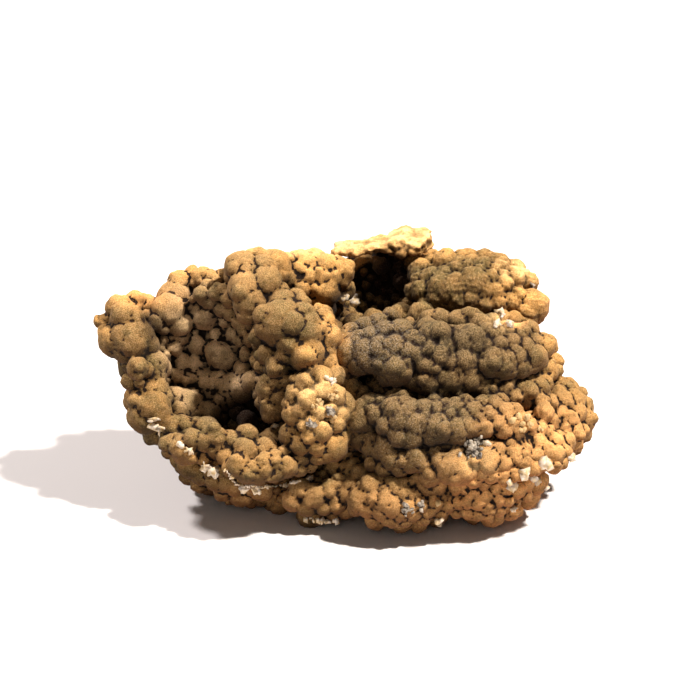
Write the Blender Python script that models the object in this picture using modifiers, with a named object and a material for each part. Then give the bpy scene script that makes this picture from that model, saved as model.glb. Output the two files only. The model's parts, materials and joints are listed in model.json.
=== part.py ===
"""A mottramite specimen, modelled as it grew: one solid crust of round lobes. An open, broken
bowl stands on the left, a ledged mass on the right, and a bridge with two flat plates roofs the
gap between them. The back and the underside are the broken rock that it was taken from."""

import math

import bmesh
import bpy
import numpy as np
from mathutils import Matrix, Vector
from mathutils.bvhtree import BVHTree

NAME = "mottramite"
MM = 0.001

# The specimen's real length, and the same length on the front view in pixels.
LENGTH = 110 * MM
LENGTH_IN_PIXELS = 495
PIXEL = LENGTH / LENGTH_IN_PIXELS

# The front view: its middle in pixels, how far it looks down, and from how far away.
VIEW_MIDDLE = (350, 350)
VIEW_FALL = math.radians(25)
VIEW_DISTANCE = 560 * MM

# Where the middle of the front view lies in the finished frame, whose origin is under the
# specimen's middle on the surface that it rests on.
VIEW_MIDDLE_PLACE = Vector((1.41, -0.37, 32.6)) * MM

# Finish of the mesh: the grids that fuse the big forms and then the lobes, and the number of
# triangles kept. The round shapes start as divided icosahedra, the rocks as coarse ones.
CORE_GRID = 1.2 * MM
FUSE_GRID = 0.75 * MM
TRIANGLES = 8600
MASS_DIVISIONS = 4
LOBE_DIVISIONS = 2
ROCK_DIVISIONS = 1

# How deep a lobe sits in what it grows from, as a part of its radius.
SUNK = 0.25

# The big forms. Each has its middle on the front view in pixels, how far it stands toward the
# viewer in mm, its half sizes in mm across, in depth and in height, and whether it leans back
# with the view (1) or stands upright (0).
MASSES = {
    "right body": (452, 402, -5, (25.5, 20, 21.5), 0),
    "brow": (440, 350, 6, (24.5, 12, 7), 0),
    "middle ledge": (450, 410, 9, (23, 13, 6.5), 0),
    "belly": (465, 447, 9, (24, 13, 6.5), 0),
    "skirt": (480, 475, 5, (13.5, 13, 8.5), 0),
    "foot": (402, 489, 7, (14, 12, 7), 0),
    "nose": (556, 419, -1, (7, 11, 8), 0),
    "shoulder": (468, 289, -10, (15, 11.5, 6.5), 0),
    "shoulder end": (517, 306, -8, (5, 8, 5), 0),
    "bowl": (232, 380, 0, (21.5, 13, 22), 1),
    "horn": (126, 327, -1, (5.5, 7, 6.5), 0),
    "left wall": (150, 378, 3, (5, 8, 11), 1),
    "lip": (212, 437, 7, (12, 8, 6), 1),
    "lip front": (262, 464, 11, (11, 8, 4.5), 1),
    "bowl rim": (213, 296, -7, (11, 8, 6), 1),
    "right wall top": (256, 294, 1, (7.5, 9, 9), 1),
    "right wall": (298, 345, 7, (8.5, 9, 11), 1),
    "right wall foot": (316, 412, 11, (7, 9, 12), 1),
    "heel": (254, 455, -5, (17.5, 14, 9), 0),
    "under": (318, 479, 0, (13, 13, 8), 0),
    "bridge": (298, 281, -7, (14.5, 7, 5.5), 0),
    "neck": (352, 420, -4, (10, 14.5, 16), 0),
    "back wall": (388, 292, -21, (15, 7, 12), 0),
    "back": (350, 368, -17, (36, 12, 18), 0),
}
HOLLOWS = {
    "bowl hollow": (199, 360, 12, (13.5, 15, 16.5), 1),
    "bowl pit": (252, 420, 3, (9, 11, 5), 1),
    "cavity": (376, 290, -3, (7.5, 13, 6.5), 1),
    "slot": (341, 309, 0, (4, 10, 3.5), 1),
}

# Lobes on the face, each at (x, y) with its radius, all in pixels of the front view. Their
# depth is that of the big form behind them.
LOBES = {
    "bowl, left wall": (
        (122, 312, 13), (134, 318, 9), (113, 343, 13), (130, 342, 18), (128, 364, 13),
        (152, 367, 15), (155, 393, 15), (142, 420, 12), (158, 440, 10),
    ),
    "bowl, back wall": (
        (180, 281, 9), (200, 276, 9), (220, 270, 9), (172, 300, 16), (165, 308, 14), (150, 318, 9),
        (180, 335, 9), (203, 317, 11), (197, 345, 9), (178, 368, 9), (222, 355, 14),
        (240, 340, 10), (215, 335, 9), (240, 315, 9), (222, 295, 9), (207, 383, 12),
        (218, 385, 13), (230, 389, 13), (240, 388, 11), (252, 381, 9), (178, 403, 13),
        (190, 405, 16), (196, 396, 12), (210, 410, 10),
    ),
    "bowl, lip": (
        (183, 425, 11), (205, 428, 12), (220, 442, 9), (233, 446, 9), (245, 453, 10),
        (240, 468, 9), (258, 474, 9), (288, 466, 9), (306, 455, 10), (322, 447, 10),
    ),
    "bowl, right wall": (
        (235, 262, 9), (242, 270, 14), (244, 290, 14), (250, 305, 14), (268, 283, 13),
        (280, 302, 13), (305, 318, 11), (278, 322, 20), (288, 345, 10), (309, 333, 12),
        (328, 337, 12), (308, 355, 14), (267, 355, 9), (278, 370, 11), (330, 367, 11),
        (277, 387, 12), (265, 392, 9), (274, 410, 11), (306, 382, 9), (323, 378, 10),
        (293, 400, 10), (308, 400, 10), (335, 397, 10), (345, 405, 10), (292, 418, 10),
        (272, 442, 12), (290, 437, 11), (335, 448, 12), (347, 430, 9), (320, 425, 12),
    ),
    "bridge": (
        (288, 252, 13), (308, 265, 10), (325, 267, 12), (340, 270, 12), (354, 280, 9),
        (326, 294, 11), (322, 308, 10), (268, 262, 10), (255, 255, 9), (305, 285, 9),
    ),
    "shoulder": (
        (437, 250, 9), (452, 255, 9), (445, 264, 12), (462, 270, 11), (420, 272, 12),
        (432, 280, 9), (447, 288, 15), (472, 284, 14), (480, 259, 9), (500, 272, 10),
        (495, 290, 9), (515, 279, 9), (530, 283, 9), (513, 303, 9), (535, 307, 14),
        (485, 305, 9), (372, 305, 12), (388, 302, 9), (412, 290, 9),
    ),
    "brow": (
        (400, 318, 12), (422, 314, 11), (440, 319, 9), (458, 322, 9), (472, 321, 13),
        (362, 350, 14), (375, 345, 12), (395, 371, 13), (348, 371, 10), (437, 337, 13),
        (440, 357, 10), (468, 342, 14), (468, 364, 11), (415, 355, 10), (498, 363, 15),
        (517, 357, 9), (535, 360, 11), (545, 345, 9), (548, 368, 10), (533, 391, 14),
        (508, 335, 10), (525, 330, 10), (548, 322, 8),
    ),
    "middle": (
        (417, 385, 9), (431, 384, 12), (452, 383, 12), (468, 383, 12), (484, 388, 10),
        (355, 393, 12), (372, 392, 9), (370, 405, 9), (402, 415, 15), (422, 412, 10),
        (415, 425, 12), (407, 436, 13), (386, 423, 9), (362, 432, 18), (437, 410, 9),
        (454, 409, 9), (472, 415, 9), (505, 393, 9), (495, 407, 9), (510, 412, 10),
        (440, 431, 13), (455, 433, 12), (468, 430, 10), (388, 448, 14), (416, 459, 10),
        (455, 469, 14), (353, 472, 15), (488, 462, 12), (474, 450, 10), (502, 448, 9),
        (520, 456, 10), (520, 424, 11), (537, 438, 10),
    ),
    "nose": (
        (567, 390, 9), (563, 405, 9), (580, 407, 9), (580, 422, 9), (560, 420, 9),
        (545, 412, 9), (552, 425, 9), (568, 438, 9), (548, 450, 9), (556, 466, 9),
        (545, 480, 9), (530, 478, 9),
    ),
    "foot": (
        (371, 487, 10), (395, 489, 11), (430, 488, 13), (362, 503, 12), (389, 506, 11),
        (407, 510, 9), (435, 505, 9), (412, 494, 9), (455, 500, 9), (475, 490, 9),
        (480, 508, 9), (498, 500, 9), (515, 490, 9), (330, 490, 9), (335, 507, 9),
        (312, 500, 10), (292, 503, 11), (272, 508, 9), (240, 498, 10), (190, 464, 12),
        (184, 452, 11), (214, 480, 9), (262, 492, 9), (340, 450, 11),
    ),
}

# Lobes that stand clear of the big forms: (x, y, radius) in pixels, and mm toward the viewer.
RIM_LOBES = (
    (118, 308, 10, 0), (106, 322, 8, -1), (135, 303, 9, -3), (148, 305, 9, -4),
    (575, 430, 9, 0), (558, 372, 9, -4),
)

# The roof plates: middle in pixels and mm toward the viewer, sizes in mm, turn about Z and roll
# about Y in degrees.
PLATES = {
    "thick plate": (409, 240, -13, (9.4, 11.0, 3.4), 4, -3),
    "thin plate": (360, 247, -12, (12.5, 8.0, 2.0), -6, -9),
}

# Small lobes that fill the face between the listed ones: the part of the view that is tried, the
# step of the rows in pixels, the radii, and how far clear of its neighbours each one stands.
FILL_FRAME = (95, 240, 600, 535)
FILL_STEP = 14
FILL_RADIUS = (1.6 * MM, 2.3 * MM)
FILL_CLEAR = 0.3

# Directions spread evenly all round, along which the unseen sides are met from outside. They aim
# at the line through the middle of the core that lies along its length.
SEED = 7
DIRECTIONS = 2600
GOLDEN_TURN = math.pi * (3 - math.sqrt(5))
AIM_MIDDLE = Vector((0, 0, -6 * MM))
AIM_HALF_LENGTH = 0.28 * LENGTH

# Lobes of the sides that the face doesn't show.
SCATTER_GAP = 4.6 * MM
SCATTER_RADIUS = (2.2 * MM, 3.4 * MM)

# The broken rock of the lower back: lumps with flat sides, larger than the lobes, below a height
# that is counted from the middle of the front view.
ROCK_GAP = 6.5 * MM
ROCK_RADIUS = (3.4 * MM, 5.2 * MM)
ROCK_SUNK = 0.6
ROCK_TOP = -4 * MM

# Coordinates that differ by less than this count as equal when vertices are put in order.
ORDER_STEP = 0.001 * MM


def from_view(across, up, toward):
    """Turn a place on the front view, in metres, to the upright frame."""
    fall_sin = math.sin(VIEW_FALL)
    fall_cos = math.cos(VIEW_FALL)
    return Vector((across, up * fall_sin - toward * fall_cos, up * fall_cos + toward * fall_sin))


def seen_at(x, y, toward):
    """The place on the line of sight through pixel (x, y), `toward` metres before the middle."""
    spread = PIXEL * (1 - toward / VIEW_DISTANCE)
    return from_view((x - VIEW_MIDDLE[0]) * spread, (VIEW_MIDDLE[1] - y) * spread, toward)


def add_mesh_object(name, build, collection):
    """Make an object whose mesh is filled by the function build(bm)."""
    bm = bmesh.new()
    build(bm)
    mesh = bpy.data.meshes.new(name)
    bm.to_mesh(mesh)
    bm.free()
    made = bpy.data.objects.new(name, mesh)
    collection.objects.link(made)
    return made


def add_ellipsoid(bm, x, y, toward, half_sizes, leans):
    """An ellipsoid at a place on the front view, upright or leaning back with the view."""
    place = Matrix.Translation(seen_at(x, y, toward * MM))
    lean = Matrix.Rotation(-VIEW_FALL * leans, 4, "X")
    size = Matrix.Diagonal((*(half * MM for half in half_sizes), 1))
    bmesh.ops.create_icosphere(
        bm, subdivisions=MASS_DIVISIONS, radius=1, matrix=place @ lean @ size)


def balls_mesh(name, balls, divisions):
    """Round lobes, each (centre, radius), as copies of one sphere in one mesh."""
    bm = bmesh.new()
    bmesh.ops.create_icosphere(bm, subdivisions=divisions, radius=1)
    corners = np.array([vert.co for vert in bm.verts])
    faces = np.array([[vert.index for vert in face.verts] for face in bm.faces])
    bm.free()
    centres = np.array([centre for centre, _ in balls])
    radii = np.array([radius for _, radius in balls])
    places = centres[:, None, :] + radii[:, None, None] * corners[None, :, :]
    numbers = np.arange(len(balls))[:, None, None] * len(corners) + faces[None, :, :]
    mesh = bpy.data.meshes.new(name)
    mesh.from_pydata(places.reshape(-1, 3).tolist(), [], numbers.reshape(-1, 3).tolist())
    return mesh


def evaluated_copy(source):
    """The mesh of an object with its modifiers applied."""
    graph = bpy.context.evaluated_depsgraph_get()
    return bpy.data.meshes.new_from_object(source.evaluated_get(graph))


def keep_largest_shell(mesh):
    """Leave only the connected surface with the most vertices."""
    bm = bmesh.new()
    bm.from_mesh(mesh)
    waiting = set(bm.verts)
    largest = set()
    while waiting:
        shell = set()
        front = [waiting.pop()]
        while front:
            vert = front.pop()
            shell.add(vert)
            for edge in vert.link_edges:
                other = edge.other_vert(vert)
                if other in waiting:
                    waiting.remove(other)
                    front.append(other)
        if len(shell) > len(largest):
            largest = shell
    bmesh.ops.delete(bm, geom=[v for v in bm.verts if v not in largest], context="VERTS")
    bm.to_mesh(mesh)
    bm.free()


def add_remesh(target, grid):
    """Fuse overlapping closed shapes into one skin."""
    fuse = target.modifiers.new("Fuse", "REMESH")
    fuse.mode = "VOXEL"
    fuse.voxel_size = grid
    fuse.adaptivity = 0


def add_difference(target, cutter, name):
    """Cut one closed shape out of another."""
    cut = target.modifiers.new(name, "BOOLEAN")
    cut.operation = "DIFFERENCE"
    cut.solver = "EXACT"
    cut.object = cutter


def build_core(shapes, cutters):
    """The big forms fused, less the hollows: what the lobes grow on."""
    def masses(bm):
        for form in MASSES.values():
            add_ellipsoid(bm, *form)

    core = add_mesh_object("core", masses, shapes)
    add_remesh(core, CORE_GRID)
    for name, form in HOLLOWS.items():
        hollow = add_mesh_object(name, lambda bm, form=form: add_ellipsoid(bm, *form), cutters)
        hollow.hide_render = True
        hollow.display_type = "WIRE"
        add_difference(core, hollow, name)
    return core


def face_lobes(surface):
    """Centres and radii of the lobes that the front view shows."""
    eye = from_view(0, 0, VIEW_DISTANCE)
    lobes = []
    for group in LOBES.values():
        for x, y, radius in group:
            sight = (seen_at(x, y, 0) - eye).normalized()
            place, normal, _, _ = surface.ray_cast(eye, sight)
            if place is None:
                place, normal, _, _ = surface.find_nearest(seen_at(x, y, 0))
            size = radius * PIXEL
            lobes.append((place - normal * size * SUNK, size))
    for x, y, radius, toward in RIM_LOBES:
        lobes.append((seen_at(x, y, toward * MM), radius * PIXEL))
    return lobes


def filling_lobes(surface, lobes, random):
    """Small lobes on rows across the face, where no listed lobe stands."""
    eye = from_view(0, 0, VIEW_DISTANCE)
    left, top, right, bottom = FILL_FRAME
    added = []
    for row, y in enumerate(range(top, bottom, FILL_STEP)):
        for x in range(left + (row % 2) * FILL_STEP // 2, right, FILL_STEP):
            sight = (seen_at(x, y, 0) - eye).normalized()
            place, normal, _, _ = surface.ray_cast(eye, sight)
            size = random.uniform(*FILL_RADIUS)
            if place is not None and all(
                    (place - centre).length > reach + size * FILL_CLEAR for centre, reach in lobes):
                added.append((place - normal * size * SUNK, size))
    return added


def places_all_round(surface, gap, keep):
    """Places on the core with their normals, at least gap apart, for which keep holds."""
    places = []
    for index in range(DIRECTIONS):
        height = 1 - 2 * (index + 0.5) / DIRECTIONS
        turn = index * GOLDEN_TURN
        level = math.sqrt(1 - height * height)
        outward = Vector((level * math.cos(turn), level * math.sin(turn), height))
        target = AIM_MIDDLE + Vector((outward.x * AIM_HALF_LENGTH, 0, 0))
        place, normal, _, _ = surface.ray_cast(target + outward * LENGTH, -outward)
        if place is None or not keep(place, normal):
            continue
        if all((place - other).length > gap for other, _ in places):
            places.append((place, normal))
    return places


def in_fixed_order(mesh):
    """The same mesh with vertices and faces sorted by place, so that each run goes alike."""
    places = np.empty(len(mesh.vertices) * 3, np.float32)
    mesh.vertices.foreach_get("co", places)
    places = places.reshape(-1, 3)
    order = np.lexsort(np.round(places / ORDER_STEP).T)
    rank = np.empty(len(order), np.int64)
    rank[order] = np.arange(len(order))
    faces = []
    for polygon in mesh.polygons:
        corners = [int(rank[index]) for index in polygon.vertices]
        first = corners.index(min(corners))
        faces.append(corners[first:] + corners[:first])
    faces.sort()
    made = bpy.data.meshes.new(mesh.name)
    made.from_pydata(places[order].tolist(), [], faces)
    return made


def all_round_lobes(surface, lobes, random):
    """Lobes and rocks of the sides that the front view doesn't show."""
    eye = from_view(0, 0, VIEW_DISTANCE)

    def is_rock(place, normal):
        return normal.dot(eye - place) < 0 and place.z < ROCK_TOP

    def is_bare(place, normal):
        return not is_rock(place, normal) and all(
            (place - centre).length > reach + SCATTER_GAP / 2 for centre, reach in lobes)

    scattered = []
    for place, normal in places_all_round(surface, SCATTER_GAP, is_bare):
        size = random.uniform(*SCATTER_RADIUS)
        scattered.append((place - normal * size * SUNK, size))
    rocks = []
    for place, normal in places_all_round(surface, ROCK_GAP, is_rock):
        size = random.uniform(*ROCK_RADIUS)
        rocks.append((place - normal * size * ROCK_SUNK, size))
    return scattered, rocks


def add_plate(bm, x, y, toward, sizes, turn, roll):
    """One flat roof plate."""
    bmesh.ops.create_cube(
        bm, size=1,
        matrix=Matrix.Translation(seen_at(x, y, toward * MM))
        @ Matrix.Rotation(math.radians(turn), 4, "Z")
        @ Matrix.Rotation(math.radians(roll), 4, "Y")
        @ Matrix.Diagonal((*(size * MM for size in sizes), 1)))


def build_specimen(shapes, cutters):
    """The mesh of the whole specimen: core, lobes, plates and broken rock as one solid."""
    core = build_core(shapes, cutters)
    core_mesh = in_fixed_order(evaluated_copy(core))
    bpy.data.objects.remove(core)
    surface = BVHTree.FromPolygons(
        [vert.co for vert in core_mesh.vertices], [face.vertices for face in core_mesh.polygons])
    random = np.random.default_rng(SEED)
    lobes = face_lobes(surface)
    lobes += filling_lobes(surface, lobes, random)
    scattered, rocks = all_round_lobes(surface, lobes, random)

    def everything(bm):
        bm.from_mesh(core_mesh)
        bm.from_mesh(balls_mesh("lobes", lobes + scattered, LOBE_DIVISIONS))
        bm.from_mesh(balls_mesh("rocks", rocks, ROCK_DIVISIONS))
        for plate in PLATES.values():
            add_plate(bm, *plate)

    specimen = add_mesh_object(NAME, everything, shapes)
    add_remesh(specimen, FUSE_GRID)
    fused = evaluated_copy(specimen)
    bpy.data.objects.remove(specimen)
    keep_largest_shell(fused)
    return fused


def stone_material():
    """Olive brown, dull."""
    material = bpy.data.materials.new("olive brown crust")
    material.use_nodes = True
    shader = material.node_tree.nodes["Principled BSDF"]
    shader.inputs["Base Color"].default_value = (0.16, 0.115, 0.055, 1)
    shader.inputs["Roughness"].default_value = 0.85
    shader.inputs["Metallic"].default_value = 0
    return material


def add_ground(cutters):
    """A box that fills the space below z = 0, for cutting the flat underside."""
    sizes = (2 * LENGTH, 2 * LENGTH, LENGTH)
    place = Matrix.Translation((0, 0, -LENGTH / 2)) @ Matrix.Diagonal((*sizes, 1))
    ground = add_mesh_object(
        "ground", lambda bm: bmesh.ops.create_cube(bm, size=1, matrix=place), cutters)
    ground.hide_render = True
    ground.display_type = "WIRE"
    return ground


def main():
    for old in list(bpy.data.objects):
        bpy.data.objects.remove(old)
    scene = bpy.context.scene
    shapes = bpy.data.collections.new(NAME)
    scene.collection.children.link(shapes)
    cutters = bpy.data.collections.new("cutters")
    scene.collection.children.link(cutters)

    fused = build_specimen(shapes, cutters)
    fused.transform(Matrix.Translation(VIEW_MIDDLE_PLACE))
    fused.materials.clear()
    fused.materials.append(stone_material())
    specimen = bpy.data.objects.new(NAME, fused)
    shapes.objects.link(specimen)

    thin = specimen.modifiers.new("Fewer triangles", "DECIMATE")
    thin.ratio = TRIANGLES / (2 * len(fused.polygons))
    add_difference(specimen, add_ground(cutters), "Flat underside")


main()
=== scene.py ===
"""Looks of a mottramite specimen: fused crusts of velvety lobes in place of the plain solid, with
rough roof plates, pale flakes, chips and crystals. Run as a script, it builds every piece."""

import json
import math

import bpy
import numpy as np
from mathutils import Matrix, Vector
from mathutils.bvhtree import BVHTree

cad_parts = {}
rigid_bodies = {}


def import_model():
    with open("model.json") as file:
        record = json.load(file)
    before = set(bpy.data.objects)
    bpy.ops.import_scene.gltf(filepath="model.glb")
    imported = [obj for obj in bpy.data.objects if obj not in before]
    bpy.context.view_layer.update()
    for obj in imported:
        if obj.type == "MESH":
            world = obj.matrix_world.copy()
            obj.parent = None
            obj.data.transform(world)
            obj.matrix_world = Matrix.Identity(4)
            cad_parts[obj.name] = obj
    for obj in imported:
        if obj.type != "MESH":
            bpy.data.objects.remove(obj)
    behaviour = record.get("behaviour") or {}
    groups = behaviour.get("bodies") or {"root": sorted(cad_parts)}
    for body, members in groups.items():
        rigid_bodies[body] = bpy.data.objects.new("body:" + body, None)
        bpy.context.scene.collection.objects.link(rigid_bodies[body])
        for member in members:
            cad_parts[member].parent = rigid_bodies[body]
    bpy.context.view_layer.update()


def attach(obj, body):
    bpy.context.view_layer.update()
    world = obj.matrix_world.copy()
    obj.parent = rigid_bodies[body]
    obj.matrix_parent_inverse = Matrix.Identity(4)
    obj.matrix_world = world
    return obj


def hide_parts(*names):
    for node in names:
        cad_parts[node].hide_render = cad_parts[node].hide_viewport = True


bl_info = {
    "name": "Mottramite specimen",
    "version": (1, 0, 0),
    "blender": (4, 5, 0),
    "location": "3D View > Sidebar > Mottramite",
    "description": "Builds a velvety mottramite specimen as fused crusts of round lobes",
    "category": "Object",
}

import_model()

MM = 0.001
NODE = "mottramite"
VELVET = "velvet crust"

# The front view: its scale, its middle in pixels, how far it looks down and from how far away,
# and where its middle lies in the frame.
PIXEL = 110 * MM / 495
PICTURE_SIDE = 700
VIEW_MIDDLE = (350, 350)
VIEW_FALL = math.radians(25)
VIEW_DISTANCE = 560 * MM
VIEW_MIDDLE_PLACE = np.array((1.41, -0.37, 32.6)) * MM

# The big forms, as the solid has them: middle on the front view in pixels, mm toward the viewer,
# half sizes in mm across, in depth and in height, leaning back with the view (1) or upright (0).
BOWL_MASSES = {
    "bowl": (232, 380, 0, (21.5, 13, 22), 1),
    "horn": (126, 327, -1, (5.5, 7, 6.5), 0),
    "left wall": (150, 378, 3, (5, 8, 11), 1),
    "lip": (212, 437, 7, (12, 8, 6), 1),
    "lip front": (262, 464, 11, (11, 8, 4.5), 1),
    "bowl rim": (213, 296, -7, (11, 8, 6), 1),
    "right wall top": (256, 294, 1, (7.5, 9, 9), 1),
    "right wall": (298, 345, 7, (8.5, 9, 11), 1),
    "right wall foot": (316, 412, 11, (7, 9, 12), 1),
    "heel": (254, 455, -5, (17.5, 14, 9), 0),
    "bridge": (298, 281, -7, (14.5, 7, 5.5), 0),
}
BODY_MASSES = {
    "right body": (452, 402, -5, (25.5, 20, 21.5), 0),
    "brow": (440, 350, 6, (24.5, 12, 7), 0),
    "middle ledge": (450, 410, 9, (23, 13, 6.5), 0),
    "belly": (465, 447, 9, (24, 13, 6.5), 0),
    "nose": (556, 419, -1, (7, 11, 8), 0),
    "neck": (352, 420, -4, (10, 14.5, 16), 0),
}
FOOT_MASSES = {
    "skirt": (480, 475, 5, (13.5, 13, 8.5), 0),
    "foot": (402, 489, 7, (14, 12, 7), 0),
    "under": (318, 479, 0, (13, 13, 8), 0),
}
SHOULDER_MASSES = {
    "shoulder": (468, 289, -10, (15, 11.5, 6.5), 0),
    "shoulder end": (517, 306, -8, (5, 8, 5), 0),
}
BACK_MASSES = {
    "back wall": (388, 292, -21, (15, 7, 12), 0),
    "back": (350, 368, -17, (36, 12, 18), 0),
}
HOLLOWS = {
    "bowl hollow": (199, 360, 12, (13.5, 15, 16.5), 1),
    "bowl pit": (252, 420, 3, (9, 11, 5), 1),
    "cavity": (376, 290, -3, (7.5, 13, 6.5), 1),
    "slot": (341, 309, 0, (4, 10, 3.5), 1),
}

# Grooves between the ledges: middle on the front view, where its line of sight meets the big
# forms, half width and half height in pixels, half depth in mm, turn in the view in degrees.
GROOVES = (
    (357, 381, 15, 6, 5.0, 0), (488, 382, 36, 5, 4.5, -6), (531, 404, 16, 5, 4.5, 20),
    (398, 480, 46, 8, 6.0, 0), (462, 306, 32, 5, 6.0, 0), (152, 331, 9, 12, 6.0, 30),
    (300, 372, 7, 10, 4.0, 0), (445, 400, 30, 4, 3.5, 8), (424, 452, 26, 4, 3.5, -20),
    (347, 470, 6, 18, 5.0, 15), (255, 400, 18, 6, 5.0, -10), (470, 447, 40, 4, 3.5, 5),
    (262, 487, 60, 6, 5.0, -6), (500, 470, 34, 4, 3.5, 12),
)

# Lobes that the front view shows, each (x, y, radius) in its pixels; a fourth number is mm toward
# the viewer, where the lobe doesn't stand on the big form behind it.
BOWL_LOBES = {
    "left wall": (
        (118, 308, 10, 0), (124, 316, 11), (106, 322, 7, -1), (135, 302, 9, -3), (148, 305, 8, -4),
        (134, 317, 9), (113, 343, 13), (130, 342, 18), (150, 345, 9), (128, 364, 13),
        (152, 367, 15), (157, 376, 9), (165, 357, 5), (155, 392, 15), (156, 405, 14),
        (158, 416, 11), (142, 420, 12), (148, 436, 9), (128, 382, 7), (133, 402, 6),
        (104, 332, 6), (100, 322, 5, -1),
    ),
    "back wall": (
        (172, 300, 15), (166, 308, 14), (180, 281, 9), (192, 273, 7), (200, 276, 8), (211, 269, 7),
        (150, 318, 8), (155, 322, 7), (203, 317, 11), (207, 322, 7), (180, 335, 9), (197, 345, 8),
        (175, 347, 7), (185, 363, 8), (192, 364, 8), (178, 376, 7), (190, 380, 9), (222, 355, 14),
        (217, 350, 9), (240, 340, 6), (215, 335, 6), (232, 335, 6), (245, 355, 6), (240, 368, 6),
        (215, 280, 6), (222, 275, 7), (207, 285, 6), (215, 295, 6), (222, 290, 6), (228, 300, 7),
        (200, 292, 6), (208, 303, 6), (220, 310, 6), (230, 315, 6), (238, 322, 6), (225, 322, 5),
        (243, 330, 6), (250, 340, 6), (236, 347, 5), (258, 345, 6), (256, 362, 6),
    ),
    "chain across": (
        (200, 381, 9), (207, 383, 12), (218, 385, 13), (229, 388, 13), (239, 388, 11),
        (251, 381, 9), (243, 370, 7), (232, 401, 8), (248, 404, 7), (222, 398, 9), (212, 396, 8),
    ),
    "slab": (
        (176, 400, 12), (188, 405, 15), (197, 410, 11), (208, 412, 10), (180, 412, 10),
        (195, 396, 9),
    ),
    "pit": ((247, 420, 8, 3), (248, 434, 8, 4), (237, 412, 6, 0)),
    "lip": (
        (174, 424, 9), (183, 426, 11), (195, 427, 10), (205, 429, 12), (214, 436, 9), (220, 441, 8),
        (231, 442, 9), (245, 450, 10), (226, 455, 8), (237, 466, 9), (230, 470, 7), (247, 474, 9),
        (257, 476, 8), (255, 468, 6), (265, 470, 7), (270, 476, 6), (288, 468, 8), (278, 474, 6),
        (215, 450, 7), (205, 442, 8), (192, 440, 8), (300, 471, 6), (310, 466, 6), (318, 458, 6),
        (262, 462, 6), (276, 462, 6), (300, 458, 7),
    ),
    "right wall top": (
        (233, 258, 9), (240, 266, 14), (246, 272, 10), (244, 288, 14), (250, 303, 14),
        (247, 314, 10), (264, 264, 9), (268, 282, 13), (275, 294, 12), (281, 304, 13),
        (302, 302, 7), (303, 313, 10), (308, 322, 10), (262, 312, 8),
    ),
    "right wall": (
        (278, 322, 19), (273, 330, 12), (288, 318, 11), (261, 335, 9), (288, 343, 10),
        (309, 333, 12), (322, 330, 9), (330, 338, 12), (308, 355, 14), (300, 349, 9),
        (329, 362, 10), (337, 374, 8), (328, 350, 9), (267, 355, 9), (276, 366, 10),
        (260, 366, 6), (283, 357, 7), (277, 385, 12), (268, 389, 9), (284, 382, 8),
        (274, 408, 11), (271, 400, 8), (305, 382, 8), (297, 380, 6), (322, 377, 9),
        (313, 373, 6), (293, 395, 8), (290, 405, 7), (308, 400, 9), (300, 411, 7),
        (292, 415, 9), (322, 390, 7), (335, 395, 9), (346, 405, 10), (342, 414, 8),
    ),
    "right wall foot": (
        (330, 410, 6), (312, 423, 6), (318, 412, 6), (322, 432, 8), (310, 436, 7), (304, 426, 6),
        (272, 442, 12), (266, 446, 9), (290, 437, 11), (300, 446, 9), (281, 433, 8),
        (335, 448, 12), (342, 438, 9), (347, 428, 8), (326, 455, 8), (316, 447, 7),
        (296, 452, 6), (285, 452, 6), (275, 455, 5), (265, 457, 5), (338, 424, 7),
    ),
    "bridge": (
        (288, 252, 13), (276, 253, 8), (286, 262, 9), (299, 258, 9), (308, 264, 10), (317, 262, 9),
        (327, 266, 12), (340, 270, 12), (334, 277, 8), (352, 281, 8), (356, 272, 7), (345, 284, 7),
        (322, 278, 8), (310, 276, 8), (300, 270, 8), (272, 266, 6), (258, 252, 7), (268, 250, 6),
        (250, 252, 6), (371, 285, 7), (366, 276, 7), (360, 262, 9), (350, 260, 8), (327, 255, 8),
        (312, 252, 7), (340, 258, 8),
    ),
    "columns": (
        (326, 293, 11), (323, 307, 11), (326, 320, 9), (314, 290, 7), (316, 300, 7), (302, 288, 9),
        (290, 278, 8), (296, 296, 8), (330, 327, 7),
    ),
}
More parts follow.
